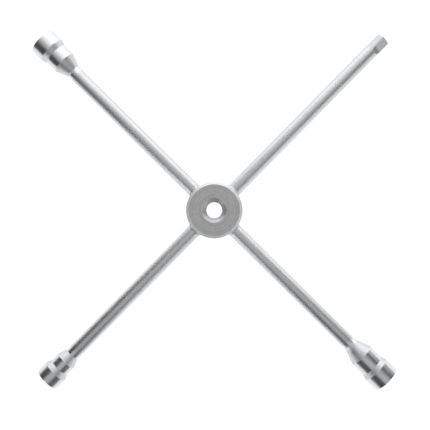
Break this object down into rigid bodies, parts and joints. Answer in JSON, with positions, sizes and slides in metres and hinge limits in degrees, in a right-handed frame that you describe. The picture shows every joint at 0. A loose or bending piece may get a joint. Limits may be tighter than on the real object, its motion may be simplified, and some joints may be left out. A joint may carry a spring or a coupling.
{
  "type": "lug wrench",
  "caption": "Cross-shaped wheel-nut wrench: round bars joined at a bored disc hub, ending in stepped hexagon sockets and a male square drive.",
  "frame": {"origin": "centre of the hub's bore, half way through the disc", "axes": "+Z along the hub's bore; +X along the square drive's arm, +Y the 19 mm socket's, -X the 17 mm socket's, -Y the 21 mm socket's"},
  "size_m": [0.5475, 0.5525, 0.0334],
  "materials": {
    "hub_chrome": "satin, faced on a lathe",
    "bar_chrome": "satin on drawn bar",
    "socket_chrome": "satin over turned steel",
    "weld_chrome": "satin over a weld bead",
    "ball_steel": "polished",
    "spring_steel": "drawn wire"
  },
  "bodies": {
    "wrench": {"hub_disc": "hub_chrome", "bar_17": "bar_chrome", "socket_17": "socket_chrome", "hub_weld_17": "weld_chrome", "bar_19": "bar_chrome", "socket_19": "socket_chrome", "hub_weld_19": "weld_chrome", "bar_21": "bar_chrome", "socket_21": "socket_chrome", "hub_weld_21": "weld_chrome", "drive_bar": "bar_chrome", "hub_weld_drive": "weld_chrome", "detent_spring": "spring_steel"},
    "detent": {"detent_ball": "ball_steel"}
  },
  "joints": [
    {"name": "detent_press", "type": "slide", "parent": "wrench", "child": "detent", "axis": [0, 0.848, 0.5299], "range_m": [0, 0.0011], "stiffness_N_per_m": 3000, "deforming": ["detent_spring"]}
  ]
}
